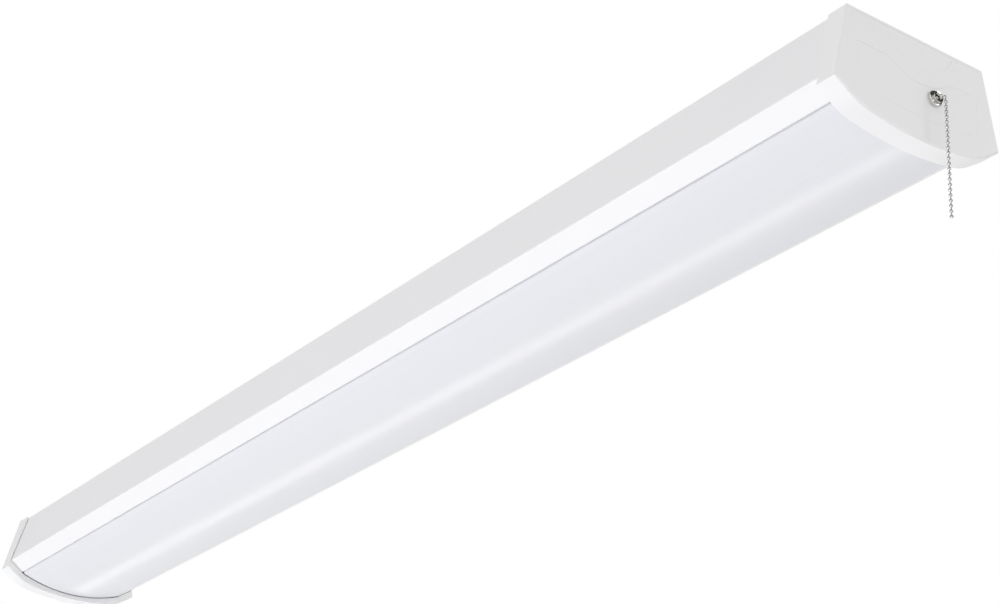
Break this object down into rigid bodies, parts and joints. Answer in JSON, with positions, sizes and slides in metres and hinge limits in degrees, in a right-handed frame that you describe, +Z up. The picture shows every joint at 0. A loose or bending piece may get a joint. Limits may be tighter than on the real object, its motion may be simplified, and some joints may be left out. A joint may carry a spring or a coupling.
{
  "type": "wraparound ceiling light",
  "caption": "Long surface-mounted ceiling light: white folded steel channel with flared sides, shallow arched diffuser, moulded end caps and a ball-chain pull switch.",
  "frame": {"origin": "middle of the housing's back plate, on the face that lies against the ceiling", "axes": "+X lengthwise towards the end with the pull chain, +Y across, +Z up into the ceiling"},
  "size_m": [1.2297, 0.1408, 0.1276],
  "materials": {
    "white_enamel": "satin white powder coat",
    "tray_enamel": "high-reflectance white enamel",
    "white_cap": "fine matt moulded white",
    "diffuser": "frosted opal acrylic, faintly ribbed along its length",
    "spring_steel": "bright spring steel",
    "zinc_plate": "bright zinc plate",
    "joint_plastic": "moulded white nylon",
    "driver_metal": "plain can",
    "splice_plastic": "orange moulded cover",
    "earth_green": "green dyed plate",
    "tinned_copper": "tinned copper",
    "lead_black": "smooth insulation",
    "lead_red": "smooth insulation",
    "lead_white": "smooth insulation",
    "lead_green": "smooth insulation",
    "lead_blue": "smooth insulation",
    "nylon": "natural nylon",
    "black_nylon": "black nylon",
    "phenolic": "dark moulded resin",
    "nickel_plate": "bright nickel plate",
    "chain_nickel": "nickel-plated brass",
    "board_solder_mask": "white solder mask",
    "chip_phosphor": "yellow phosphor under clear resin"
  },
  "bodies": {
    "fixture": {"housing": "white_enamel", "end_cap_pull": "white_cap", "end_cap_far": "white_cap", "lens_clips": "spring_steel", "led_tray": "tray_enamel", "tray_bracket_1": "zinc_plate", "tray_bracket_2": "zinc_plate", "tray_bracket_3": "zinc_plate", "tray_screws": "zinc_plate", "board_joints": "joint_plastic", "driver_case": "driver_metal", "driver_studs": "zinc_plate", "driver_nuts": "zinc_plate", "splice_live": "splice_plastic", "splice_neutral": "splice_plastic", "splice_ground": "splice_plastic", "ground_screw": "earth_green", "ground_terminal": "tinned_copper", "lead_live": "lead_black", "lead_switched": "lead_red", "lead_neutral": "lead_white", "lead_ground": "lead_green", "lead_output_left": "lead_blue", "lead_output_right": "lead_blue", "lead_clamps": "nylon", "supply_bushing": "black_nylon", "switch_body": "phenolic", "switch_plate": "zinc_plate", "switch_bushing": "nickel_plate", "lock_nut": "zinc_plate", "ring_nut": "nickel_plate", "bell_mouth": "nickel_plate", "led_board_1": "board_solder_mask", "led_chips_1": "chip_phosphor", "led_board_2": "board_solder_mask", "led_chips_2": "chip_phosphor", "led_board_3": "board_solder_mask", "led_chips_3": "chip_phosphor", "led_board_4": "board_solder_mask", "led_chips_4": "chip_phosphor"},
    "lens": {"lens": "diffuser"},
    "chain_feed": {"chain_inner": "chain_nickel"},
    "mouth_bead": {"chain_bead_mouth": "chain_nickel"},
    "bend_bead": {"chain_bead_bend": "chain_nickel"},
    "top_bead": {"chain_bead_top": "chain_nickel"},
    "swivel_bead": {"chain_bead_swivel": "chain_nickel"},
    "hanging_chain": {"pull_chain": "chain_nickel"}
  },
  "joints": [
    {"name": "lens_release", "type": "slide", "parent": "fixture", "child": "lens", "axis": [0, 0, -1], "range_m": [0, 0.08]},
    {"name": "chain_pull", "type": "slide", "parent": "fixture", "child": "top_bead", "axis": [0, 0, -1], "range_m": [0, 0.00365], "stiffness_N_per_m": 2000, "springref_m": -0.002},
    {"name": "chain_feed", "type": "slide", "parent": "fixture", "child": "chain_feed", "axis": [0.9964, 0, -0.085], "range_m": [0, 0.00363]},
    {"name": "mouth_bead_run", "type": "slide", "parent": "fixture", "child": "mouth_bead", "axis": [0.7667, 0, -0.642], "range_m": [0, 0.00358]},
    {"name": "bend_bead_run", "type": "slide", "parent": "fixture", "child": "bend_bead", "axis": [0.1931, 0, -0.9812], "range_m": [0, 0.0036]},
    {"name": "chain_swing_out", "type": "hinge", "parent": "top_bead", "child": "swivel_bead", "pos_m": [0.619, 0.0133, -0.04623], "axis": [0, 1, 0], "range_deg": [-75, 16]},
    {"name": "chain_swing_side", "type": "hinge", "parent": "swivel_bead", "child": "hanging_chain", "pos_m": [0.619, 0.0133, -0.04988], "axis": [1, 0, 0], "range_deg": [-70, 70]}
  ],
  "couplings": [
    {"joint": "chain_feed", "follows": "chain_pull", "ratio": 0.99381},
    {"joint": "mouth_bead_run", "follows": "chain_pull", "ratio": 0.9796},
    {"joint": "bend_bead_run", "follows": "chain_pull", "ratio": 0.98509}
  ]
}
